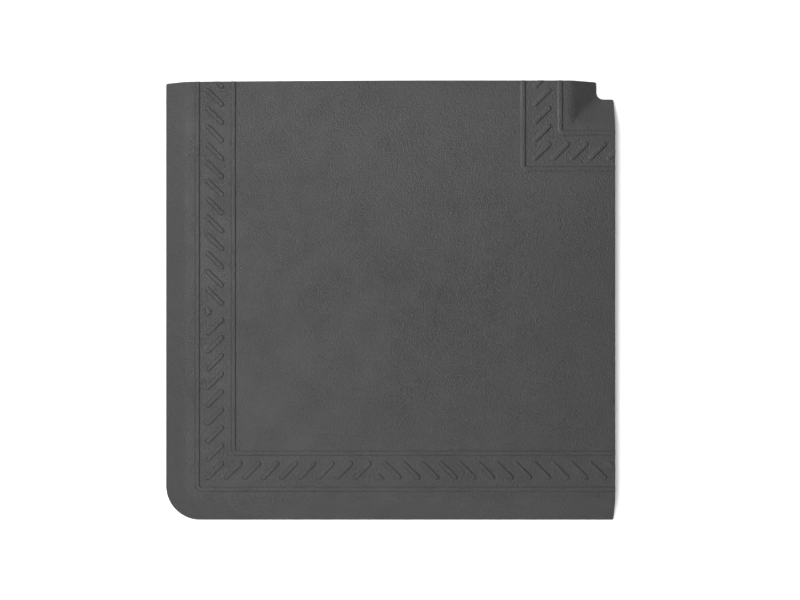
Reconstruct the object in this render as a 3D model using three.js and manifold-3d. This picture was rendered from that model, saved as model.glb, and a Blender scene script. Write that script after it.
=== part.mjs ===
// The corner section of a modular, L-shaped anti-fatigue floor mat.
// It lies flat with +Z up. The outer corner of the L points to -X and -Y: those two sides are ramps.
// The +Y (back) and +X (side) ends are plain joining faces, where the next sections butt.
// The small square inside corner of the L is at +X +Y.
// Every shape is drawn in the plan, in millimetres from the outer corner, and the group moves it
// so that the origin is at the middle of the underside.

import * as THREE from "three";
import { mergeVertices } from "three/addons/utils/BufferGeometryUtils.js";
import Module from "manifold-3d";

// Plan
const ARM_X = 612.4; // from the outer edge at -X to the inside corner
const ARM_Y = 598.5; // from the outer edge at -Y to the inside corner
const NOTCH_SIZE = 24.4; // side of the square inside corner
const OVERALL_X = ARM_X + NOTCH_SIZE;
const OVERALL_Y = ARM_Y + NOTCH_SIZE;
const OUTER_RADIUS = 48.5; // plan radius of the outer corner
const NOTCH_RADIUS = 10; // plan fillet of the inside corner at floor level
const VALLEY_RADIUS = 2; // the same fillet where the ramps reach the field
const FACE_CORNER_RADIUS = 2.5; // where a ramp ends at a joining face

// Section
const FIELD_HEIGHT = 18.05; // floor to standing surface
const LIP_HEIGHT = 3; // upright edge at the foot of the ramps
const RAMP_WIDTH = 31; // of the outer ramps
const NOTCH_STRETCH = 1.19; // how much wider the ramps of the inside corner are
const RAMP_SLOPE = (FIELD_HEIGHT - LIP_HEIGHT) / RAMP_WIDTH;
const CREST_HALF = 4; // half the width of the rounded crest of the ramps
const EDGE_RADIUS = 1.6; // rounding along the top of the joining faces

// Layers
const SKIN_THICKNESS = 1.75;
const RIM_WIDTH = 4.5; // solid foot of the skin under the ramps
const BASE_THICKNESS = 2;
const GAP = 0.3; // clearance between neighbouring layers

// Raised border. A pair gives a distance along X and along Y, or in the row along X and the row along Y.
const MARK_WIDTH = 7; // ridges and dashes alike
const MARK_HEIGHT = 1;
const MARK_FLANK = 1.2; // plan width of a sloping flank
const MARK_ROOT = 0.4; // depth that a mark runs into the skin
const BEND_RADIUS = 6.35; // of a ridge's centreline
const OUTER_RIDGES = [[47.4, 46.1], [98.2, 96.9]]; // distances in from the outer edges
const INNER_RIDGES = [[53.4, 50.1], [105.6, 100.6]]; // distances in from the edges of the inside corner
const OUTER_DASH = [71.9, 72.4]; // middle of the dash in the outer corner, in from the outer edges
const INNER_DASH = [78.9, 75.6]; // and of the one round the inside corner, in from its edges
const DASH_LENGTH = 27.3; // between the centres of its round ends
const RISING_PITCH = [26, 25.4];
const RISING_DASHES = 8; // in each outer row, after the corner dash
const FALLING_PITCH = [26.3, 25.5];
const FALLING_DASHES = 13;
const FIRST_FALLING = [250.4, 245.5]; // from the corner dash
const TURN_POINT = [230.6, 224.1]; // where the dashes change direction, from the corner dash
const INNER_DASHES = 4; // in each inner row, after the corner dash
const STUB_SIDE = [[2.7, 0], [9.3, 6.8], [12.2, 6.8], [13.8, 5]]; // out from the row, and along it

// Joining tapes
const TAPE_WIDTH = 38;
const TAPE_LENGTH = 495;
const TAPE_THICKNESS = 1.4;
const TAPE_INSET = 12; // from the joining face to the tape
const TAPE_START = 60; // from the outer edge to the tape's end
const TAPE_CLEARANCE = 0.5;

const wasm = await Module();
wasm.setup();

// ---------- solids ----------

function toSolid(geometry) {
  const bare = geometry.clone();
  bare.deleteAttribute("normal");
  bare.deleteAttribute("uv");
  const merged = mergeVertices(bare, 1e-4);
  const vertProperties = merged.getAttribute("position").array;
  const triVerts = new Uint32Array(merged.getIndex().array);
  return new wasm.Manifold(new wasm.Mesh({ numProp: 3, vertProperties, triVerts }));
}

function toGeometry(solid) {
  const mesh = solid.getMesh();
  const geometry = new THREE.BufferGeometry();
  geometry.setAttribute("position", new THREE.BufferAttribute(mesh.vertProperties, 3));
  geometry.setIndex(new THREE.BufferAttribute(mesh.triVerts, 1));
  const faceted = geometry.toNonIndexed();
  faceted.computeVertexNormals();
  return faceted;
}

// ---------- plan outline ----------

// The points of a right-angled corner rounded by an arc. before and after are unit directions of travel.
function roundCorner(corner, before, after, radius, steps) {
  const points = [];
  for (let step = 0; step <= steps; step++) {
    const angle = (step / steps) * (Math.PI / 2);
    const along = radius * (Math.sin(angle) - 1);
    const across = radius * (1 - Math.cos(angle));
    points.push(corner.clone().addScaledVector(before, along).addScaledVector(after, across));
  }
  return points;
}

// The closed outline at one level, anticlockwise from above.
// inset is the distance up the ramps, and faceInset the distance in from the joining faces.
function outline(inset, faceInset) {
  const notch = new THREE.Vector2(ARM_X - NOTCH_STRETCH * inset, ARM_Y - NOTCH_STRETCH * inset);
  const face = new THREE.Vector2(OVERALL_X - faceInset, OVERALL_Y - faceInset);
  const climb = Math.min(inset / RAMP_WIDTH, 1);
  const notchRadius = THREE.MathUtils.lerp(NOTCH_RADIUS, VALLEY_RADIUS, climb);
  const corners = [
    { x: face.x, y: inset, radius: FACE_CORNER_RADIUS, steps: 3 },
    { x: face.x, y: notch.y, radius: FACE_CORNER_RADIUS, steps: 3 },
    { x: notch.x, y: notch.y, radius: notchRadius, steps: 6 },
    { x: notch.x, y: face.y, radius: FACE_CORNER_RADIUS, steps: 3 },
    { x: inset, y: face.y, radius: FACE_CORNER_RADIUS, steps: 3 },
    { x: inset, y: inset, radius: OUTER_RADIUS - inset, steps: 16 },
  ];
  const places = corners.map(({ x, y }) => new THREE.Vector2(x, y));
  return corners.flatMap(({ radius, steps }, index) => {
    const corner = places[index];
    const previous = places[(index + corners.length - 1) % corners.length];
    const next = places[(index + 1) % corners.length];
    const before = corner.clone().sub(previous).normalize();
    const after = next.clone().sub(corner).normalize();
    return roundCorner(corner, before, after, radius, steps);
  });
}

// A closed solid through a stack of outlines, lowest first.
function loft(levels) {
  const rings = levels.map(({ inset, faceInset }) => outline(inset, faceInset));
  const count = rings[0].length;
  const position = rings.flatMap((ring, level) => ring.flatMap(({ x, y }) => [x, y, levels[level].z]));
  const index = [];
  for (let level = 0; level < rings.length - 1; level++) {
    for (let i = 0; i < count; i++) {
      const next = (i + 1) % count;
      const low = level * count;
      const high = low + count;
      index.push(low + i, low + next, high + next, low + i, high + next, high + i);
    }
  }
  const top = (rings.length - 1) * count;
  for (const [a, b, c] of THREE.ShapeUtils.triangulateShape(rings[0], [])) {
    index.push(c, b, a);
  }
  for (const [a, b, c] of THREE.ShapeUtils.triangulateShape(rings[rings.length - 1], [])) {
    index.push(top + a, top + b, top + c);
  }
  const geometry = new THREE.BufferGeometry();
  geometry.setAttribute("position", new THREE.Float32BufferAttribute(position, 3));
  geometry.setIndex(index);
  return toSolid(geometry);
}

// ---------- section ----------

// Height of the outer surface at a distance in from the foot of a ramp.
function surfaceHeight(inset) {
  const past = inset - RAMP_WIDTH;
  if (past <= -CREST_HALF) return LIP_HEIGHT + RAMP_SLOPE * inset;
  const short = Math.max(CREST_HALF - past, 0);
  return FIELD_HEIGHT - (RAMP_SLOPE * short ** 2) / (4 * CREST_HALF);
}

// How far the rounded top edge of a joining face has drawn back at a height.
function edgeInset(z) {
  const above = THREE.MathUtils.clamp(z - FIELD_HEIGHT + EDGE_RADIUS, 0, EDGE_RADIUS);
  return EDGE_RADIUS - Math.sqrt(EDGE_RADIUS ** 2 - above ** 2);
}

function outerLevels() {
  const edgeStart = (FIELD_HEIGHT - EDGE_RADIUS - LIP_HEIGHT) / RAMP_SLOPE;
  const insets = [0, edgeStart];
  for (const part of [-1, -0.5, 0, 0.5, 1]) {
    insets.push(RAMP_WIDTH + part * CREST_HALF);
  }
  insets.sort((a, b) => a - b);
  const upper = insets.map((inset) => {
    const z = Math.min(surfaceHeight(inset), FIELD_HEIGHT);
    return { inset, faceInset: edgeInset(z), z };
  });
  return [{ inset: 0, faceInset: 0, z: 0 }, ...upper];
}

// The levels of a layer whose top runs parallel to the outer surface, depth below it.
function innerLevels(depth, rim, bottom) {
  const fall = depth * Math.hypot(1, RAMP_SLOPE);
  const top = FIELD_HEIGHT - depth;
  const shoulder = LIP_HEIGHT + RAMP_SLOPE * rim - fall;
  const crest = (top + fall - LIP_HEIGHT) / RAMP_SLOPE;
  return [
    { inset: rim, faceInset: depth, z: bottom },
    { inset: rim, faceInset: depth, z: shoulder },
    { inset: crest, faceInset: depth, z: top },
  ];
}

// ---------- raised border ----------

// A low mark with rounded flanks on the standing surface.
function raisedMark(shape, curveSegments) {
  const geometry = new THREE.ExtrudeGeometry(shape, {
    depth: MARK_ROOT,
    curveSegments,
    bevelThickness: MARK_HEIGHT,
    bevelSize: MARK_FLANK,
    bevelOffset: -MARK_FLANK,
    bevelSegments: 1,
  });
  return geometry.translate(0, 0, FIELD_HEIGHT - MARK_ROOT);
}

// A ridge that follows two sides of a right-angled corner at (x, y) and runs past both joining faces.
function ridge([x, y]) {
  const half = MARK_WIDTH / 2;
  const farX = OVERALL_X + MARK_WIDTH;
  const farY = OVERALL_Y + MARK_WIDTH;
  const centreX = x + BEND_RADIUS;
  const centreY = y + BEND_RADIUS;
  const shape = new THREE.Shape();
  shape.moveTo(x - half, farY);
  shape.lineTo(x - half, centreY);
  shape.absarc(centreX, centreY, BEND_RADIUS + half, Math.PI, 1.5 * Math.PI, false);
  shape.lineTo(farX, y - half);
  shape.lineTo(farX, y + half);
  shape.lineTo(centreX, y + half);
  shape.absarc(centreX, centreY, BEND_RADIUS - half, 1.5 * Math.PI, Math.PI, true);
  shape.lineTo(x + half, farY);
  return raisedMark(shape, 8);
}

// A round-ended dash centred at (x, y), at 45 degrees: rising to the right, or falling.
function dash(x, y, rising) {
  const half = DASH_LENGTH / 2;
  const radius = MARK_WIDTH / 2;
  const shape = new THREE.Shape();
  shape.absarc(half, 0, radius, -Math.PI / 2, Math.PI / 2, false);
  shape.absarc(-half, 0, radius, Math.PI / 2, 1.5 * Math.PI, false);
  const turn = rising ? Math.PI / 4 : -Math.PI / 4;
  return raisedMark(shape, 4).rotateZ(turn).translate(x, y, 0);
}

// A row of dashes along X or along Y from its corner dash. first is the distance to the first one.
function dashRow([x, y], alongX, first, pitch, count, rising) {
  const dashes = [];
  for (let n = 0; n < count; n++) {
    const along = first + n * pitch;
    dashes.push(alongX ? dash(x + along, y, rising) : dash(x, y + along, rising));
  }
  return dashes;
}

// The stub on the outer side of a row, where its dashes change direction.
function stub(alongX) {
  const turn = alongX ? OUTER_DASH[0] + TURN_POINT[0] : OUTER_DASH[1] + TURN_POINT[1];
  const otherSide = STUB_SIDE.slice(1).reverse().map(([out, along]) => [out, -along]);
  const points = [...STUB_SIDE, ...otherSide].map(([out, along]) => {
    return alongX
      ? new THREE.Vector2(turn + along, OUTER_DASH[1] - out)
      : new THREE.Vector2(OUTER_DASH[0] - out, turn + along);
  });
  return raisedMark(new THREE.Shape(points), 1);
}

function rowMarks(alongX) {
  const row = alongX ? 0 : 1;
  const inner = fromNotch(INNER_DASH);
  const rise = RISING_PITCH[row];
  return [
    stub(alongX),
    ...dashRow(OUTER_DASH, alongX, rise, rise, RISING_DASHES, true),
    ...dashRow(OUTER_DASH, alongX, FIRST_FALLING[row], FALLING_PITCH[row], FALLING_DASHES, false),
    ...dashRow(inner, alongX, rise, rise, INNER_DASHES, true),
  ];
}

function fromNotch([x, y]) {
  return [ARM_X - x, ARM_Y - y];
}

function borderMarks() {
  const marks = [
    ...OUTER_RIDGES.map(ridge),
    ...INNER_RIDGES.map(fromNotch).map(ridge),
    dash(...OUTER_DASH, true),
    dash(...fromNotch(INNER_DASH), true),
    ...rowMarks(true),
    ...rowMarks(false),
  ];
  return marks.map(toSolid).reduce((joined, mark) => joined.add(mark));
}

// ---------- pieces ----------

function upright(inset, faceInset, bottom, top) {
  return loft([
    { inset, faceInset, z: bottom },
    { inset, faceInset, z: top },
  ]);
}

function topSkin() {
  const trim = upright(0, EDGE_RADIUS, FIELD_HEIGHT - SKIN_THICKNESS, FIELD_HEIGHT + 2 * MARK_HEIGHT);
  const marks = borderMarks().intersect(trim);
  const hollow = loft(innerLevels(SKIN_THICKNESS, RIM_WIDTH, -1));
  return loft(outerLevels()).add(marks).subtract(hollow);
}

function foamCore() {
  return loft(innerLevels(SKIN_THICKNESS + GAP, RIM_WIDTH + GAP, BASE_THICKNESS));
}

// The box of the tape on the back or the side joining edge, grown by a margin in the plan.
function tapeBox(onBack, margin, thickness) {
  const width = TAPE_WIDTH + 2 * margin;
  const length = TAPE_LENGTH + 2 * margin;
  const along = TAPE_START + TAPE_LENGTH / 2;
  const across = TAPE_INSET + TAPE_WIDTH / 2;
  const [sizeX, sizeY] = onBack ? [length, width] : [width, length];
  const [x, y] = onBack ? [along, OVERALL_Y - across] : [OVERALL_X - across, along];
  const box = new THREE.BoxGeometry(sizeX, sizeY, thickness);
  return toSolid(box.translate(x, y, BASE_THICKNESS - thickness / 2));
}

function gripBase() {
  const sheet = upright(RIM_WIDTH + GAP, SKIN_THICKNESS + GAP, 0, BASE_THICKNESS);
  const backWindow = tapeBox(true, TAPE_CLEARANCE, 3 * BASE_THICKNESS);
  const sideWindow = tapeBox(false, TAPE_CLEARANCE, 3 * BASE_THICKNESS);
  return sheet.subtract(backWindow).subtract(sideWindow);
}

function piece(name, solid, color, roughness) {
  const material = new THREE.MeshStandardMaterial({ color, roughness, metalness: 0 });
  const mesh = new THREE.Mesh(toGeometry(solid), material);
  mesh.name = name;
  return mesh;
}

const mat = new THREE.Group();
mat.add(piece("top_skin", topSkin(), 0x4d4d4f, 0.55));
mat.add(piece("foam_core", foamCore(), 0x6a6a6a, 0.95));
mat.add(piece("grip_base", gripBase(), 0x2c2c2e, 0.8));
mat.add(piece("back_joining_tape", tapeBox(true, 0, TAPE_THICKNESS), 0x1c1c1e, 0.95));
mat.add(piece("side_joining_tape", tapeBox(false, 0, TAPE_THICKNESS), 0x1c1c1e, 0.95));
mat.position.set(-OVERALL_X / 2, -OVERALL_Y / 2, 0);

export default mat;
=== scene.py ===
"""Looks of the corner section of a modular anti-fatigue floor mat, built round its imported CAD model.

The mat is drawn in the plan, in millimetres from its outer corner, as the CAD model is, and every mesh is
moved into the model's own frame, in metres, as it is made. Heights come from formulas, so that the plan can be
cut into triangles along every line of the raised border and each point then lifted to its height.
"""

import math

import bmesh
import bpy
import numpy as np
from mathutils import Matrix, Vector
from mathutils.geometry import delaunay_2d_cdt


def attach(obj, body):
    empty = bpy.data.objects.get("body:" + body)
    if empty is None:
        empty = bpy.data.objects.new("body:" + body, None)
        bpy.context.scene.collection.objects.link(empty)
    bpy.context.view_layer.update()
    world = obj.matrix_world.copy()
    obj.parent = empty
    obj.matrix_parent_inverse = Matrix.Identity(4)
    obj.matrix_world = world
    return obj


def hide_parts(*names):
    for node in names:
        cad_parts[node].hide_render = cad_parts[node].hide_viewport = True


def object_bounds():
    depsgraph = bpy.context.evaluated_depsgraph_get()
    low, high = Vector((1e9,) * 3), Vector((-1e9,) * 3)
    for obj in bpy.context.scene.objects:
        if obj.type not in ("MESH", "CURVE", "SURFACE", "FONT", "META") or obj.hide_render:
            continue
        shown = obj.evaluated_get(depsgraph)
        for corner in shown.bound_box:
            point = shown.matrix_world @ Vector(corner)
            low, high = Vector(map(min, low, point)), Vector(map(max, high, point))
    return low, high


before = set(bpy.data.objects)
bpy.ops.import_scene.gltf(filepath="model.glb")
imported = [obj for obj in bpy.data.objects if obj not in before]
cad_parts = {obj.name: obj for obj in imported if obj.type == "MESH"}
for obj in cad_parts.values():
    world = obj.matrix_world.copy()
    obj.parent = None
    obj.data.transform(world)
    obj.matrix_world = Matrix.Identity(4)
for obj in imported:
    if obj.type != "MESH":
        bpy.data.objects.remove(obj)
cad_low, cad_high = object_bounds()

# ---------- sizes, in millimetres ----------

MM = 0.001
OVERALL_X = (cad_high.x - cad_low.x) / MM
OVERALL_Y = (cad_high.y - cad_low.y) / MM
NOTCH_SIZE = 24.4  # side of the square inside corner
ARM_X = OVERALL_X - NOTCH_SIZE
ARM_Y = OVERALL_Y - NOTCH_SIZE
OUTER_RADIUS = 48.5
NOTCH_RADIUS = 10.0  # fillet of the inside corner at the floor
VALLEY_RADIUS = 2.0  # the same fillet where its ramps reach the field
FACE_CORNER_RADIUS = 2.5  # where a ramp ends at a joining face
BACK_BOW = 2.2  # how far the back end falls short at its outer corner
BACK_BOW_START = 400.0

MARK_HEIGHT = 1.3  # a little more than in the CAD model, within the same overall height
FIELD_HEIGHT = cad_high.z / MM - MARK_HEIGHT
LIP_HEIGHT = 3.0
RAMP_WIDTH = 31.0  # of the outer ramps
NOTCH_STRETCH = 1.19  # how much wider the ramps of the inside corner are
RAMP_SLOPE = (FIELD_HEIGHT - LIP_HEIGHT) / RAMP_WIDTH
CREST_HALF = 5.0  # half the width of the rounded crest of the ramps
EDGE_RADIUS = 1.6  # rounding along the top of every upright wall
FOOT_RADIUS = 0.8  # rounding along the bottom of every upright wall
FOAM_ROUNDING = 1.2

SKIN_THICKNESS = 1.75
RIM_WIDTH = 4.5
BASE_THICKNESS = 2.0
GAP = 0.3

MARK_WIDTH = 7.0
FILLET = 0.35  # how far a mark's flank runs out past its edge
FLANK = 1.3  # how far the flank runs in from the edge
BEND_RADIUS = 6.35
RIDGE_TURNS = (
    (47.4, 46.1),
    (98.2, 96.9),
    (ARM_X - 53.4, ARM_Y - 50.1),
    (ARM_X - 105.6, ARM_Y - 100.6),
)
DASH_LENGTH = 27.3
OUTER_DASH = (71.9, 72.4)  # middle of the outer corner's dash
INNER_DASH = (ARM_X - 78.9, ARM_Y - 75.6)
# The pairs give a distance in the rows along X and along Y.
RISING_PITCH = (26.0, 25.4)
RISING_DASHES = 8  # in each outer row, after the corner dash
FALLING_PITCH = (26.3, 25.5)
FALLING_DASHES = 13
FIRST_FALLING = (250.4, 245.5)  # from the corner dash
TURN_POINT = (230.6, 224.1)  # where the dashes change direction
INNER_DASHES = 4
# Half the outline of the stub at the turn: distances out from the row, and along it.
STUB_SIDE = ((2.7, 0.0), (9.3, 6.8), (12.2, 6.8), (13.8, 5.0))

TAPE_WIDTH = 38.0
TAPE_LENGTH = 495.0
TAPE_THICKNESS = 1.4
TAPE_INSET = 12.0
TAPE_START = 60.0
TAPE_CLEARANCE = 0.5

PAD_PITCH = 18.0  # of the grip pads under the mat
PAD_RADIUS = 6.0
PAD_DROP = 0.5
PAD_FLANK = 0.6
PAD_MARGIN = 10.0  # width of the flat border round the base
WINDOW_BORDER = 4.0  # and round the tapes' windows
SELVEDGE = 2.0  # flat woven border of a tape
SELVEDGE_FLANK = 0.8  # from that border to the bed of loops
LOOP_STEP = 1.3

SKIN_COLOUR = (0.0265, 0.0265, 0.0272)
FOAM_COLOUR = (0.16, 0.16, 0.16)
GRIP_COLOUR = (0.03, 0.03, 0.032)
TAPE_COLOUR = (0.018, 0.018, 0.019)
FLOOR_COLOUR = (0.94, 0.94, 0.94)
SKIN_GLOSS = 0.36  # specular level
GRAIN_DEPTH = 0.75

CAMERA_HEIGHT = 1.7  # metres, over the floor
CAMERA_LENS = 31.58 * CAMERA_HEIGHT
CAMERA_ASIDE = (0.0147, 0.0014)
WORLD_STRENGTH = 0.2
# Name, place in metres, size in metres and power in watts of each softbox. They all face the mat's middle.
SOFTBOXES = (
    ("left_softbox", (-1.1, 0.3, 2.3), (1.2, 1.2), 40),
    ("back_left_softbox", (-1.5, 1.5, 1.8), (1.0, 1.0), 43),
    ("back_strip", (0.2, 2.6, 0.8), (1.4, 0.7), 14),
    ("front_softbox", (-0.2, -2.0, 1.7), (1.2, 1.2), 40),
    ("top_softbox", (-0.4, -0.2, 2.6), (2.0, 2.0), 24),
)
# A narrow lamp for the flanks of the raised lines by the inside corner.
SPOT_PLACE = (-1.7, 0.35, 0.9)
SPOT_AIM = (0.25, 0.25, 0.02)
SPOT_ANGLE = math.radians(11)
SPOT_RADIUS = 0.12
SPOT_POWER = 150
FLOOR_HALF = 6.0  # half the side of the floor, in metres
FLOOR_DROP = 0.0001  # how far the floor lies under the mat

FIELD_STEP = 9.0  # spacing of the free points of the skin
LINE_STEP = 9.0  # spacing of points along a straight line of the plan
PAST_FACE = 5.0  # how far such a line runs past the joining faces

# Distances in from a mark's edge at which its shape is drawn, outside ones first.
MARK_RINGS = (-1.0, -FILLET, 0.05, 0.45, 0.85, FLANK, 2.1)
# Distances in from an upright wall at which the rounded edge is drawn.
EDGE_RINGS = (0.1, 0.35, 0.7, 1.1, EDGE_RADIUS, 2.6)
# Distances up a ramp at which it is drawn, beyond the rounded edge.
RAMP_LINES = (8.0, 15.0, 21.0, 24.7, 26.0, 27.7, 29.4, 31.0, 32.6, 34.3, 36.0, 37.5)


# ---------- plan outline ----------

def lerp(a, b, t):
    return a + (b - a) * t


def along_line(start, end):
    """Points from start up to, and without, end."""
    steps = max(1, round(math.dist(start, end) / LINE_STEP))
    return [tuple(lerp(a, b, i / steps) for a, b in zip(start, end)) for i in range(steps)]


def back_line(x):
    """How far the back joining face reaches at x: its outer half is slightly bowed."""
    short = np.clip((BACK_BOW_START - x) / BACK_BOW_START, 0, 1)
    return OVERALL_Y - BACK_BOW * short ** 1.5


def rounded_corner(corner, before, after, radius, steps):
    """The arc of a right-angled corner. before and after are unit directions of travel."""
    points = []
    for i in range(steps + 1):
        angle = i / steps * math.pi / 2
        along = radius * (math.sin(angle) - 1)
        across = radius * (1 - math.cos(angle))
        points.append(tuple(c + b * along + a * across for c, b, a in zip(corner, before, after)))
    return points


def outline(inset, face_inset):
    """The closed outline at one distance up the ramps, anticlockwise from above."""
    notch_x, notch_y = ARM_X - NOTCH_STRETCH * inset, ARM_Y - NOTCH_STRETCH * inset
    face_x, face_y = OVERALL_X - face_inset, OVERALL_Y - face_inset
    notch_radius = lerp(NOTCH_RADIUS, VALLEY_RADIUS, min(inset / RAMP_WIDTH, 1))
    east, north, west, south = (1, 0), (0, 1), (-1, 0), (0, -1)
    corners = [
        ((face_x, inset), east, north, FACE_CORNER_RADIUS, 6),
        ((face_x, notch_y), north, west, FACE_CORNER_RADIUS, 6),
        ((notch_x, notch_y), west, north, notch_radius, 10),
        ((notch_x, face_y), north, west, FACE_CORNER_RADIUS, 6),
        ((inset, face_y), west, south, FACE_CORNER_RADIUS, 6),
        ((inset, inset), south, east, OUTER_RADIUS - inset, 28),
    ]
    arcs = [rounded_corner(*corner) for corner in corners]
    points = []
    for arc, following in zip(arcs, arcs[1:] + arcs[:1]):
        points += arc[:-1] + along_line(arc[-1], following[0])
    return [(x, y - (OVERALL_Y - back_line(x)) * (y > notch_y)) for x, y in points]


# ---------- height of the moulded skin ----------

def outer_inset(x, y):
    """Distance in from the two outer edges and the rounded corner between them."""
    corner = OUTER_RADIUS - np.hypot(OUTER_RADIUS - x, OUTER_RADIUS - y)
    in_corner = (x < OUTER_RADIUS) & (y < OUTER_RADIUS)
    return np.where(in_corner, corner, np.minimum(x, y))


def notch_inset(x, y):
    """Distance up the ramps of the inside corner, which meet in a valley with a fillet."""
    u, v = (ARM_X - x) / NOTCH_STRETCH, (ARM_Y - y) / NOTCH_STRETCH
    straight = np.maximum(u, v)
    inset = straight
    for _ in range(4):
        radius = lerp(NOTCH_RADIUS, VALLEY_RADIUS, np.clip(inset / RAMP_WIDTH, 0, 1)) / NOTCH_STRETCH
        gap = np.minimum(np.abs(u - v), radius)
        rounded = radius + (u + v - np.sqrt(2 * radius ** 2 - gap ** 2)) / 2
        inset = np.where(np.abs(u - v) < radius, rounded, straight)
    return inset


def ramp_inset(x, y):
    return np.minimum(outer_inset(x, y), notch_inset(x, y))


def edge_distance(x, y):
    """Distance in from the outline, round the small corners at the joining faces too."""
    ramp = ramp_inset(x, y)
    face = np.minimum(back_line(x) - y, OVERALL_X - x)
    radius = FACE_CORNER_RADIUS
    corner = radius - np.hypot(radius - ramp, radius - face)
    return np.where((ramp < radius) & (face < radius), corner, np.minimum(ramp, face))


def crown(inset):
    """Height of the bare surface at a distance up a ramp."""
    ramp = LIP_HEIGHT + RAMP_SLOPE * inset
    short = np.clip(RAMP_WIDTH + CREST_HALF - inset, 0, 2 * CREST_HALF)
    crest = FIELD_HEIGHT - RAMP_SLOPE * short ** 2 / (4 * CREST_HALF)
    return np.where(inset < RAMP_WIDTH - CREST_HALF, ramp, crest)


def edge_drop(distance):
    short = np.clip(EDGE_RADIUS - distance, 0, EDGE_RADIUS)
    return EDGE_RADIUS - np.sqrt(EDGE_RADIUS ** 2 - short ** 2)


def ridge_distance(x, y, turn):
    """Distance from the centreline of a ridge with a rounded right angle at the turn."""
    past_x, past_y = x - turn[0] - BEND_RADIUS, y - turn[1] - BEND_RADIUS
    bend = np.abs(np.hypot(past_x, past_y) - BEND_RADIUS)
    straight = np.minimum(
        np.where(past_y > 0, np.abs(x - turn[0]), np.inf),
        np.where(past_x > 0, np.abs(y - turn[1]), np.inf),
    )
    return np.where((past_x < 0) & (past_y < 0), bend, straight)


def dash_places():
    """(x, y, direction) of every dash: direction is 1 where it rises to the right and -1 where it falls."""
    places = [(*OUTER_DASH, 1), (*INNER_DASH, 1)]
    rows = [
        (OUTER_DASH, RISING_PITCH, RISING_PITCH, RISING_DASHES, 1),
        (OUTER_DASH, FIRST_FALLING, FALLING_PITCH, FALLING_DASHES, -1),
        (INNER_DASH, RISING_PITCH, RISING_PITCH, INNER_DASHES, 1),
    ]
    for (x, y), first, pitch, count, direction in rows:
        for n in range(count):
            places.append((x + first[0] + n * pitch[0], y, direction))
            places.append((x, y + first[1] + n * pitch[1], direction))
    return places


def dash_distance(x, y, place):
    centre_x, centre_y, direction = place
    along = ((x - centre_x) + direction * (y - centre_y)) * math.sqrt(0.5)
    across = ((y - centre_y) - direction * (x - centre_x)) * math.sqrt(0.5)
    past = np.maximum(np.abs(along) - DASH_LENGTH / 2, 0)
    return np.hypot(past, across)


def stub_corners(along_x):
    """The corners of the stub where a row's dashes change direction, anticlockwise."""
    other_side = [(out, -along) for out, along in STUB_SIDE[:0:-1]]
    x, y = OUTER_DASH
    corners = [*STUB_SIDE, *other_side]
    if along_x:
        return [(x + TURN_POINT[0] + along, y - out) for out, along in reversed(corners)]
    return [(x - out, y + TURN_POINT[1] + along) for out, along in corners]


def stub_depth(x, y, corners):
    """Distance in from the nearest side of a stub; negative outside."""
    depth = np.full(np.shape(x), np.inf)
    for (ax, ay), (bx, by) in zip(corners, corners[1:] + corners[:1]):
        length = math.hypot(bx - ax, by - ay)
        depth = np.minimum(depth, ((bx - ax) * (y - ay) - (by - ay) * (x - ax)) / length)
    return depth


def mark_depth(x, y):
    """Distance in from the edge of the nearest raised mark; negative outside."""
    half = MARK_WIDTH / 2
    depth = np.full(np.shape(x), -np.inf)
    for turn in RIDGE_TURNS:
        depth = np.maximum(depth, half - ridge_distance(x, y, turn))
    for place in dash_places():
        depth = np.maximum(depth, half - dash_distance(x, y, place))
    for along_x in (True, False):
        depth = np.maximum(depth, stub_depth(x, y, stub_corners(along_x)))
    return depth


def mark_rise(depth):
    """Height of a mark: an S-shaped flank and a slightly domed top."""
    t = np.clip((depth + FILLET) / (FLANK + FILLET), 0, 1)
    dome = np.clip(depth / (MARK_WIDTH / 2), 0, 1)
    return MARK_HEIGHT * (0.9 * t * t * (3 - 2 * t) + 0.1 * dome * (2 - dome))


def unevenness(x, y):
    """The slight waviness of a thick moulding, fading out at the ramps' feet."""
    waves = (
        0.10 * np.sin(x / 47 + 1.3 * np.sin(y / 83))
        + 0.08 * np.sin(y / 39 + 1.1 * np.sin(x / 71) + 2.0)
        + 0.05 * np.sin((x + y) / 23 + 0.7)
    )
    return waves * np.clip(ramp_inset(x, y) / RAMP_WIDTH, 0, 1) * 0.5


def skin_height(x, y):
    bare = crown(ramp_inset(x, y)) - edge_drop(edge_distance(x, y))
    return bare + mark_rise(mark_depth(x, y)) + unevenness(x, y)


# ---------- meshes from plans ----------

class Shell:
    """Points, in plan millimetres, and faces of a mesh under construction."""

    def __init__(self):
        self.points = []
        self.faces = []

    def add(self, points, faces, flip=False):
        first = len(self.points)
        self.points += [tuple(map(float, p)) for p in points]
        for face in faces:
            face = [first + i for i in face]
            self.faces.append(face[::-1] if flip else face)

    def add_wall(self, rows):
        """Joins closed loops of the same length, lowest first, with the outside on their right."""
        count = len(rows[0])
        for low, high in zip(rows, rows[1:]):
            faces = [(i, (i + 1) % count, count + (i + 1) % count, count + i) for i in range(count)]
            self.add(list(low) + list(high), faces)


def crosses(x, y, loop):
    """Whether each point is inside a closed loop."""
    inside = np.zeros(len(x), bool)
    for (ax, ay), (bx, by) in zip(loop, loop[1:] + loop[:1]):
        if ay == by:
            continue
        spans = (ay > y) != (by > y)
        inside ^= spans & (x < (bx - ax) * (y - ay) / (by - ay) + ax)
    return inside


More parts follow.
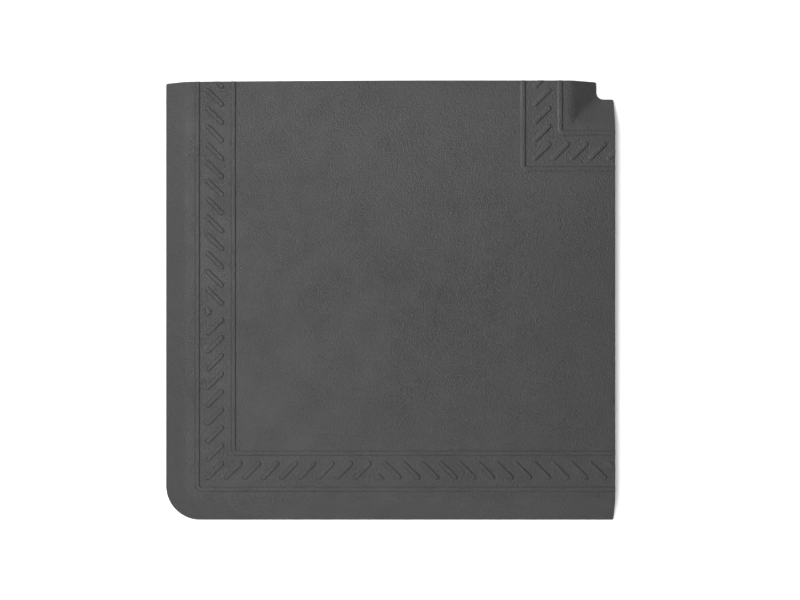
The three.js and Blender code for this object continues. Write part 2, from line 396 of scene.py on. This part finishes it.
def cut_plan(outer, holes=(), lines=(), closed_lines=(), free=()):
    """Triangles over the inside of a loop, with an edge along every line. Returns points and faces."""
    points, edges = [], []
    for loop in (outer, *holes, *closed_lines):
        first, count = len(points), len(loop)
        points += loop
        edges += [(first + i, first + (i + 1) % count) for i in range(count)]
    for line in lines:
        first = len(points)
        points += line
        edges += [(first + i, first + i + 1) for i in range(len(line) - 1)]
    points += list(free)
    made = delaunay_2d_cdt([Vector(p) for p in points], edges, [], 0, 1e-4, False)
    flat = np.array([tuple(p) for p in made[0]])
    triangles = np.array(made[2])
    middle = flat[triangles].mean(axis=1)
    keep = crosses(middle[:, 0], middle[:, 1], outer)
    for hole in holes:
        keep &= ~crosses(middle[:, 0], middle[:, 1], hole)
    triangles = triangles[keep]
    used = np.unique(triangles)
    renumber = np.full(len(flat), -1)
    renumber[used] = np.arange(len(used))
    return flat[used], renumber[triangles]


def boundary_loops(triangles):
    """The closed loops of point numbers along the boundary of a set of triangles."""
    following = {}
    for triangle in triangles.tolist():
        for i in range(3):
            following[(triangle[i], triangle[(i + 1) % 3])] = True
    step = {a: b for a, b in following if (b, a) not in following}
    loops = []
    while step:
        start, at = step.popitem()
        loop = [start]
        while at != start:
            loop.append(at)
            at = step.pop(at)
        loops.append(loop)
    return loops


def inward(loop, distance):
    """A loop of plan points moved in by a distance."""
    points = np.asarray(loop)
    travel = np.roll(points, -1, axis=0) - points
    travel /= np.linalg.norm(travel, axis=1)[:, None]
    tangent = travel + np.roll(travel, 1, axis=0)
    tangent /= np.linalg.norm(tangent, axis=1)[:, None]
    return points + distance * np.stack([-tangent[:, 1], tangent[:, 0]], axis=1)


def at_height(loop, z):
    return [(x, y, z) for x, y in loop]


def make_object(name, shell, sharp_angle=math.radians(50)):
    mesh = bpy.data.meshes.new(name)
    origin = Vector((cad_low.x, cad_low.y, 0))
    points = [origin + Vector(p) * MM for p in shell.points]
    mesh.from_pydata(points, [], shell.faces)
    bm = bmesh.new()
    bm.from_mesh(mesh)
    bmesh.ops.remove_doubles(bm, verts=bm.verts, dist=2e-6)
    bmesh.ops.dissolve_degenerate(bm, edges=bm.edges, dist=1e-7)
    bm.to_mesh(mesh)
    bm.free()
    mesh.shade_smooth()
    mesh.set_sharp_from_angle(angle=sharp_angle)
    made = bpy.data.objects.new(name, mesh)
    bpy.context.scene.collection.objects.link(made)
    return made


# ---------- the skin ----------

def turning_line(turn, radius, steps):
    """A line with a rounded right angle at the turn, from past the back face to past the side face."""
    x, y = turn
    arc = rounded_corner(turn, (0, -1), (1, 0), radius, steps)
    start, end = (x, OVERALL_Y + PAST_FACE), (OVERALL_X + PAST_FACE, y)
    return along_line(start, arc[0]) + arc[:-1] + along_line(arc[-1], end) + [end]


def dash_ring(place, depth):
    """A closed line round a dash, at a distance in from its edge."""
    x, y, direction = place
    radius = MARK_WIDTH / 2 - depth
    turn = direction * math.pi / 4
    half = DASH_LENGTH / 2
    ring = []
    for end in (1, -1):
        for i in range(11):
            angle = (i / 10 - 0.5) * math.pi
            ring.append((end * (half + radius * math.cos(angle)), end * radius * math.sin(angle)))
        for part in (1 / 3, -1 / 3):
            ring.append((end * half * part, end * radius))
    cosine, sine = math.cos(turn), math.sin(turn)
    return [(x + a * cosine - b * sine, y + a * sine + b * cosine) for a, b in ring]


def stub_ring(corners, depth):
    """A closed line at a distance in from a stub's sides, with softened corners."""
    middle = np.mean(corners, axis=0)
    reach = float(stub_depth(middle[0], middle[1], corners))
    scale = max(1 - depth / reach, 0.05)
    ring = []
    moved = [middle + (np.array(c) - middle) * scale for c in corners]
    for a, b in zip(moved, moved[1:] + moved[:1]):
        ring += [tuple(lerp(a, b, t)) for t in (0, 0.5)]
    return ring


def skin_lines():
    """The open and the closed lines of the plan that the skin's triangles follow."""
    open_lines, rings = [], []
    for inset in EDGE_RINGS + RAMP_LINES:
        open_lines.append(turning_line((inset, inset), max(OUTER_RADIUS - inset, 1), 28))
        valley = lerp(NOTCH_RADIUS, VALLEY_RADIUS, min(inset / RAMP_WIDTH, 1))
        notch = (ARM_X - NOTCH_STRETCH * inset, ARM_Y - NOTCH_STRETCH * inset)
        open_lines.append(turning_line(notch, valley, 10))
    for inset in EDGE_RINGS:
        back = along_line((0, 0), (ARM_X, 0)) + [(ARM_X, 0)]
        open_lines.append([(x, float(back_line(x)) - inset) for x, _ in back])
        side = along_line((0, 0), (0, ARM_Y)) + [(0, ARM_Y)]
        open_lines.append([(OVERALL_X - inset, y) for _, y in side])
    for turn in RIDGE_TURNS:
        for depth in MARK_RINGS + (MARK_WIDTH / 2,):
            offset = MARK_WIDTH / 2 - depth
            for side in {offset, -offset}:
                moved = (turn[0] + side, turn[1] + side)
                open_lines.append(turning_line(moved, BEND_RADIUS - side, 12))
    for place in dash_places():
        rings += [dash_ring(place, depth) for depth in MARK_RINGS]
    for along_x in (True, False):
        rings += [stub_ring(stub_corners(along_x), depth) for depth in MARK_RINGS[:-1]]
    return open_lines, rings


def field_points():
    """Free points over the field and the ramps, clear of the border's marks."""
    ticks = [np.arange(FIELD_STEP / 2, end, FIELD_STEP) for end in (OVERALL_X, OVERALL_Y)]
    x, y = (a.ravel() for a in np.meshgrid(*ticks))
    clear = (ramp_inset(x, y) > RAMP_LINES[-1] + 3) & (edge_distance(x, y) > EDGE_RINGS[-1] + 3)
    clear &= mark_depth(x, y) < MARK_RINGS[0] - 3
    return list(zip(x[clear].tolist(), y[clear].tolist()))


def inner_levels(depth, rim, bottom):
    """(inset, face inset, height) of a layer whose top runs parallel to the skin, depth below it."""
    fall = depth * math.hypot(1, RAMP_SLOPE)
    top = FIELD_HEIGHT - depth
    return [
        (rim, depth, bottom),
        (rim, depth, LIP_HEIGHT + RAMP_SLOPE * rim - fall),
        ((top + fall - LIP_HEIGHT) / RAMP_SLOPE, depth, top),
    ]


def make_skin():
    open_lines, rings = skin_lines()
    flat, triangles = cut_plan(outline(0, 0), lines=open_lines, closed_lines=rings, free=field_points())
    shell = Shell()
    height = skin_height(flat[:, 0], flat[:, 1])
    shell.add(np.column_stack([flat, height]), triangles.tolist())
    edge = max(boundary_loops(triangles), key=len)
    loop = flat[edge]
    top = [(x, y, z) for (x, y), z in zip(loop, height[edge])]
    foot = []
    for i in range(4):
        angle = i / 3 * math.pi / 2
        moved = inward(loop, FOOT_RADIUS * (1 - math.sin(angle)))
        foot.append(at_height(moved, FOOT_RADIUS * (1 - math.cos(angle))))
    shell.add_wall([*foot, top])
    levels = inner_levels(SKIN_THICKNESS, RIM_WIDTH, 0)
    walls = [at_height(outline(inset, face), z) for inset, face, z in levels]
    sole = [tuple(map(float, p[:2])) for p in foot[0]]
    rim = [p[:2] for p in walls[0]]
    flat_rim, faces = cut_plan(sole, holes=[rim])
    shell.add(at_height(flat_rim, 0), faces.tolist(), flip=True)
    shell.add_wall([walls[2], walls[1], walls[0]])
    ceiling, faces = cut_plan([p[:2] for p in walls[2]])
    shell.add(at_height(ceiling, levels[2][2]), faces.tolist(), flip=True)
    return make_object("moulded_skin", shell)


# ---------- the layers under the skin ----------

def make_foam():
    """The cushion: the space inside the skin, with softly rounded edges."""
    levels = inner_levels(SKIN_THICKNESS + GAP, RIM_WIDTH + GAP, BASE_THICKNESS)
    (foot, face, low), (_, _, shoulder), (crest, _, top) = levels
    rows = [(foot, face, low), (foot, face, shoulder)]
    rows += [(lerp(foot, crest, t), face, lerp(shoulder, top, t)) for t in (0.25, 0.5, 0.75, 0.95)]
    rows.append((crest + FOAM_ROUNDING, face + 0.3 * FOAM_ROUNDING, top - 0.05))
    rows.append((crest + 3 * FOAM_ROUNDING, face + FOAM_ROUNDING, top))
    shell = Shell()
    walls = [at_height(outline(inset, in_face), z) for inset, in_face, z in rows]
    shell.add_wall(walls)
    floor, faces = cut_plan([p[:2] for p in walls[0]])
    shell.add(at_height(floor, low), faces.tolist(), flip=True)
    lid, faces = cut_plan([p[:2] for p in walls[-1]])
    shell.add(at_height(lid, top), faces.tolist())
    return make_object("cushion_foam", shell, math.radians(70))


def tape_middle(on_back):
    along = TAPE_START + TAPE_LENGTH / 2
    across = TAPE_INSET + TAPE_WIDTH / 2
    return (along, OVERALL_Y - across) if on_back else (OVERALL_X - across, along)


def tape_size(on_back, margin=0.0):
    size = (TAPE_LENGTH + 2 * margin, TAPE_WIDTH + 2 * margin)
    return size if on_back else size[::-1]


def rounded_box(middle, size, radius):
    """A closed anticlockwise outline of a rectangle with rounded corners."""
    (x, y), (width, depth) = middle, size
    east, west, south, north = x + width / 2, x - width / 2, y - depth / 2, y + depth / 2
    corners = [
        ((east, south), (1, 0), (0, 1)),
        ((east, north), (0, 1), (-1, 0)),
        ((west, north), (-1, 0), (0, -1)),
        ((west, south), (0, -1), (1, 0)),
    ]
    arcs = [rounded_corner(*corner, radius, 4) for corner in corners]
    points = []
    for arc, following in zip(arcs, arcs[1:] + arcs[:1]):
        points += arc[:-1] + along_line(arc[-1], following[0])
    return points


def window_distance(x, y, on_back):
    """Distance out from the side of a tape's window; negative inside it."""
    middle = tape_middle(on_back)
    size = tape_size(on_back, TAPE_CLEARANCE)
    return np.maximum(np.abs(x - middle[0]) - size[0] / 2, np.abs(y - middle[1]) - size[1] / 2)


def pad_centres():
    """A staggered grid of round pads, clear of the border and of the tapes' windows."""
    row_pitch = PAD_PITCH * math.sqrt(0.75)
    row, column = np.meshgrid(np.arange(1, OVERALL_Y / row_pitch), np.arange(OVERALL_X / PAD_PITCH))
    x = ((column + 0.5 + 0.5 * (row % 2)) * PAD_PITCH).ravel()
    y = (row * row_pitch).ravel()
    clear = edge_distance(x, y) > PAD_MARGIN + PAD_RADIUS + 1
    for on_back in (True, False):
        clear &= window_distance(x, y, on_back) > WINDOW_BORDER + PAD_RADIUS + 1
    return np.column_stack([x[clear], y[clear]])


def circle(middle, radius, sides=14):
    turns = [math.tau * i / sides for i in range(sides)]
    return [(middle[0] + radius * math.cos(a), middle[1] + radius * math.sin(a)) for a in turns]


def sole_height(x, y, pads):
    """Height of the base's underside: on the floor at borders and pads, and a little above it between them."""
    depth = PAD_MARGIN - edge_distance(x, y)
    for on_back in (True, False):
        depth = np.maximum(depth, WINDOW_BORDER - window_distance(x, y, on_back))
    for pad_x, pad_y in pads:
        depth = np.maximum(depth, PAD_RADIUS - np.hypot(x - pad_x, y - pad_y))
    t = np.clip(depth / PAD_FLANK, 0, 1)
    return PAD_DROP * (1 - t * t * (3 - 2 * t))


def make_base():
    """The non-slip sheet: flat above, and standing on low round pads and flat borders."""
    edge = outline(RIM_WIDTH + GAP, SKIN_THICKNESS + GAP)
    windows = [rounded_box(tape_middle(b), tape_size(b, TAPE_CLEARANCE), 2) for b in (True, False)]
    pads = pad_centres()
    rings = []
    for flank in (0, PAD_FLANK / 2, PAD_FLANK):
        rings.append(outline(PAD_MARGIN - flank, PAD_MARGIN - flank))
        margin = TAPE_CLEARANCE + WINDOW_BORDER - flank
        rings += [rounded_box(tape_middle(b), tape_size(b, margin), 2) for b in (True, False)]
        rings += [circle(pad, PAD_RADIUS - flank) for pad in pads]
    flat, triangles = cut_plan(edge, holes=windows, closed_lines=rings)
    shell = Shell()
    height = sole_height(flat[:, 0], flat[:, 1], pads)
    shell.add(np.column_stack([flat, height]), triangles.tolist(), flip=True)
    for loop in boundary_loops(triangles):
        shell.add_wall([
            [(*flat[i], height[i]) for i in loop],
            at_height(flat[loop], BASE_THICKNESS),
        ])
    lid, faces = cut_plan(edge, holes=windows)
    shell.add(at_height(lid, BASE_THICKNESS), faces.tolist())
    return make_object("grip_sheet", shell, math.radians(35))


def pile_height(x, y, middle, size):
    """Height of a tape's lower face: thin woven borders along it, and a low bed of loops between them."""
    inside = np.minimum(size[0] / 2 - np.abs(x - middle[0]), size[1] / 2 - np.abs(y - middle[1]))
    t = np.clip((inside - SELVEDGE) / SELVEDGE_FLANK, 0, 1)
    tufts = np.sin(x * 2.9 + 1.7 * np.sin(y * 1.3)) * np.sin(y * 2.7 + 1.5 * np.sin(x * 1.1))
    return BASE_THICKNESS - lerp(0.5, TAPE_THICKNESS - 0.12 + 0.12 * tufts, t)


def make_tape(name, on_back):
    middle, size = tape_middle(on_back), tape_size(on_back)
    edge = rounded_box(middle, size, 1.5)
    insets = (SELVEDGE, SELVEDGE + SELVEDGE_FLANK)
    rings = [rounded_box(middle, (size[0] - 2 * d, size[1] - 2 * d), 1.5) for d in insets]
    ticks = []
    for m, s in zip(middle, size):
        ticks.append(np.arange(m - s / 2 + SELVEDGE + 1.6, m + s / 2 - SELVEDGE - 1.2, LOOP_STEP))
    x, y = (a.ravel() for a in np.meshgrid(*ticks))
    flat, triangles = cut_plan(edge, closed_lines=rings, free=list(zip(x.tolist(), y.tolist())))
    shell = Shell()
    height = pile_height(flat[:, 0], flat[:, 1], middle, size)
    shell.add(np.column_stack([flat, height]), triangles.tolist(), flip=True)
    loop = boundary_loops(triangles)[0]
    shell.add_wall([[(*flat[i], height[i]) for i in loop], at_height(flat[loop], BASE_THICKNESS)])
    lid, faces = cut_plan(edge)
    shell.add(at_height(lid, BASE_THICKNESS), faces.tolist())
    return make_object(name, shell)


# ---------- materials ----------

class Nodes:
    """A short way to build one Principled material."""

    def __init__(self, name, colour, roughness):
        self.material = bpy.data.materials.new(name)
        self.material.use_nodes = True
        self.tree = self.material.node_tree
        self.shader = self.tree.nodes["Principled BSDF"]
        self.shader.inputs["Base Color"].default_value = (*colour, 1)
        self.shader.inputs["Roughness"].default_value = roughness
        self.place = self.add("ShaderNodeTexCoord").outputs["Object"]

    def add(self, kind, **settings):
        node = self.tree.nodes.new(kind)
        for key, value in settings.items():
            if hasattr(node, key):
                setattr(node, key, value)
            else:
                node.inputs[key.replace("_", " ").title()].default_value = value
        return node

    def link(self, output, socket):
        self.tree.links.new(output, socket)

    def noise(self, size_mm, detail=3.0, roughness=0.5):
        node = self.add("ShaderNodeTexNoise", scale=1 / (size_mm * MM), detail=detail, roughness=roughness)
        self.link(self.place, node.inputs["Vector"])
        return node.outputs["Fac"]

    def cells(self, size_mm, feature="F1"):
        node = self.add("ShaderNodeTexVoronoi", feature=feature, scale=1 / (size_mm * MM))
        self.link(self.place, node.inputs["Vector"])
        return node.outputs["Distance"]

    def spread(self, value, low, high, start=0.3, end=0.7):
        """A factor stretched from start..end to low..high."""
        node = self.add("ShaderNodeMapRange")
        for socket, number in (("From Min", start), ("From Max", end), ("To Min", low), ("To Max", high)):
            node.inputs[socket].default_value = number
        self.link(value, node.inputs["Value"])
        return node.outputs["Result"]

    def combine(self, operation, a, b):
        node = self.add("ShaderNodeMath", operation=operation)
        for socket, value in zip(node.inputs, (a, b)):
            if isinstance(value, (int, float)):
                socket.default_value = value
            else:
                self.link(value, socket)
        return node.outputs[0]

    def shade(self, colour, factor):
        """Base colour scaled by a factor."""
        node = self.add("ShaderNodeVectorMath", operation="SCALE")
        node.inputs[0].default_value = colour
        self.link(factor, node.inputs["Scale"])
        self.link(node.outputs[0], self.shader.inputs["Base Color"])

    def bump(self, height, distance_mm, strength=1.0):
        node = self.add("ShaderNodeBump")
        node.inputs["Strength"].default_value = strength
        node.inputs["Distance"].default_value = distance_mm * MM
        self.link(height, node.inputs["Height"])
        self.link(node.outputs[0], self.shader.inputs["Normal"])


def skin_material():
    """Satin charcoal polyurethane with a fine pebbled grain, and painted shade along the grain's creases."""
    nodes = Nodes("skin_polyurethane", SKIN_COLOUR, 0.5)
    pebbles = nodes.cells(2.2, "SMOOTH_F1")
    creases = nodes.cells(3.2, "DISTANCE_TO_EDGE")
    crease = nodes.spread(creases, 0.0, 1.0, 0.0, 0.12)
    pits = nodes.combine("MULTIPLY", pebbles, -0.8)
    ridges = nodes.combine("MULTIPLY", crease, 0.35)
    grain = nodes.combine("ADD", pits, ridges)
    fine = nodes.noise(1.2, 3.0)
    grain = nodes.combine("ADD", grain, nodes.combine("MULTIPLY", fine, 0.4))
    patches = nodes.noise(45, 4.0, 0.6)
    depth = nodes.spread(patches, 0.6, 1.2)
    nodes.bump(nodes.combine("MULTIPLY", grain, depth), GRAIN_DEPTH)
    clouds = nodes.noise(110, 3.0)
    tone = nodes.combine("MULTIPLY", nodes.spread(clouds, 0.95, 1.05), nodes.spread(fine, 0.85, 1.15))
    # The colour is made up to a tenth darker along the grain's creases: painted shade in the grooves, over a
    # tone that varies at random.
    nodes.shade(SKIN_COLOUR, nodes.combine("MULTIPLY", tone, nodes.spread(creases, 0.9, 1.0, 0.0, 0.1)))
    scuffs = nodes.noise(28, 5.0, 0.65)
    nodes.link(nodes.spread(scuffs, 0.46, 0.56), nodes.shader.inputs["Roughness"])
    nodes.shader.inputs["Specular IOR Level"].default_value = SKIN_GLOSS
    return nodes.material


def foam_material():
    """Closed-cell foam."""
    nodes = Nodes("foam_polyurethane", FOAM_COLOUR, 0.9)
    cell = nodes.cells(1.1)
    nodes.bump(cell, 0.3, 0.8)
    nodes.shade(FOAM_COLOUR, nodes.spread(nodes.noise(30), 0.9, 1.1))
    return nodes.material


def grip_material():
    """Matt black rubbery sheet with a fine sandy surface."""
    nodes = Nodes("grip_rubber", GRIP_COLOUR, 0.8)
    sand = nodes.noise(0.6, 3.0)
    nodes.bump(sand, 0.15, 0.8)
    nodes.shade(GRIP_COLOUR, nodes.spread(nodes.noise(60, 4.0), 0.85, 1.15))
    nodes.link(nodes.spread(sand, 0.72, 0.88), nodes.shader.inputs["Roughness"])
    return nodes.material


def tape_material():
    """Black loop pile."""
    nodes = Nodes("loop_pile", TAPE_COLOUR, 0.95)
    loops = nodes.cells(0.7)
    nodes.bump(loops, 0.35)
    nodes.shade(TAPE_COLOUR, nodes.spread(nodes.noise(2.0, 4.0), 0.7, 1.4))
    nodes.shader.inputs["Sheen Weight"].default_value = 0.4
    nodes.shader.inputs["Sheen Roughness"].default_value = 0.5
    return nodes.material


# ---------- studio ----------

def make_floor():
    mesh = bpy.data.meshes.new("studio_floor")
    level = cad_low.z - FLOOR_DROP
    corners = [(x * FLOOR_HALF, y * FLOOR_HALF, level) for x, y in ((-1, -1), (1, -1), (1, 1), (-1, 1))]
    mesh.from_pydata(corners, [], [(0, 1, 2, 3)])
    floor = bpy.data.objects.new("studio_floor", mesh)
    bpy.context.scene.collection.objects.link(floor)
    nodes = Nodes("studio_paper", FLOOR_COLOUR, 0.85)
    nodes.shade(FLOOR_COLOUR, nodes.spread(nodes.noise(300), 0.99, 1.01))
    mesh.materials.append(nodes.material)


def add_light(data, place, aim, power):
    data.energy = power
    light = bpy.data.objects.new(data.name, data)
    light.location = place
    light.rotation_euler = (Vector(aim) - Vector(place)).to_track_quat("-Z", "Y").to_euler()
    light.visible_camera = False
    bpy.context.scene.collection.objects.link(light)


def light_studio():
    scene = bpy.context.scene
    world = bpy.data.worlds.new("studio_world")
    world.use_nodes = True
    world.node_tree.nodes["Background"].inputs["Color"].default_value = (1, 1, 1, 1)
    world.node_tree.nodes["Background"].inputs["Strength"].default_value = WORLD_STRENGTH
    scene.world = world
    for name, place, size, power in SOFTBOXES:
        data = bpy.data.lights.new(name, "AREA")
        data.shape = "RECTANGLE"
        data.size, data.size_y = size
        add_light(data, place, (0, 0, 0), power)
    data = bpy.data.lights.new("corner_spot", "SPOT")
    data.spot_size = SPOT_ANGLE
    data.spot_blend = 1.0
    data.shadow_soft_size = SPOT_RADIUS
    add_light(data, SPOT_PLACE, SPOT_AIM, SPOT_POWER)
    scene.view_settings.view_transform = "Standard"


def make_camera():
    data = bpy.data.cameras.new("camera")
    data.sensor_width = 36
    data.lens = CAMERA_LENS
    data.clip_end = 50
    camera = bpy.data.objects.new("camera", data)
    camera.location = (*CAMERA_ASIDE, CAMERA_HEIGHT)
    bpy.context.scene.collection.objects.link(camera)
    bpy.context.scene.camera = camera


# ---------- the mat ----------

def fit_out(piece, node, material):
    piece.data.materials.append(material)
    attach(piece, "root")
    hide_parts(node)


make_camera()
light_studio()
make_floor()

fit_out(make_skin(), "top_skin", skin_material())
foam = make_foam()
fit_out(foam, "foam_core", foam_material())
fit_out(make_base(), "grip_base", grip_material())
pile = tape_material()
fit_out(make_tape("back_loop_tape", True), "back_joining_tape", pile)
fit_out(make_tape("side_loop_tape", False), "side_joining_tape", pile)
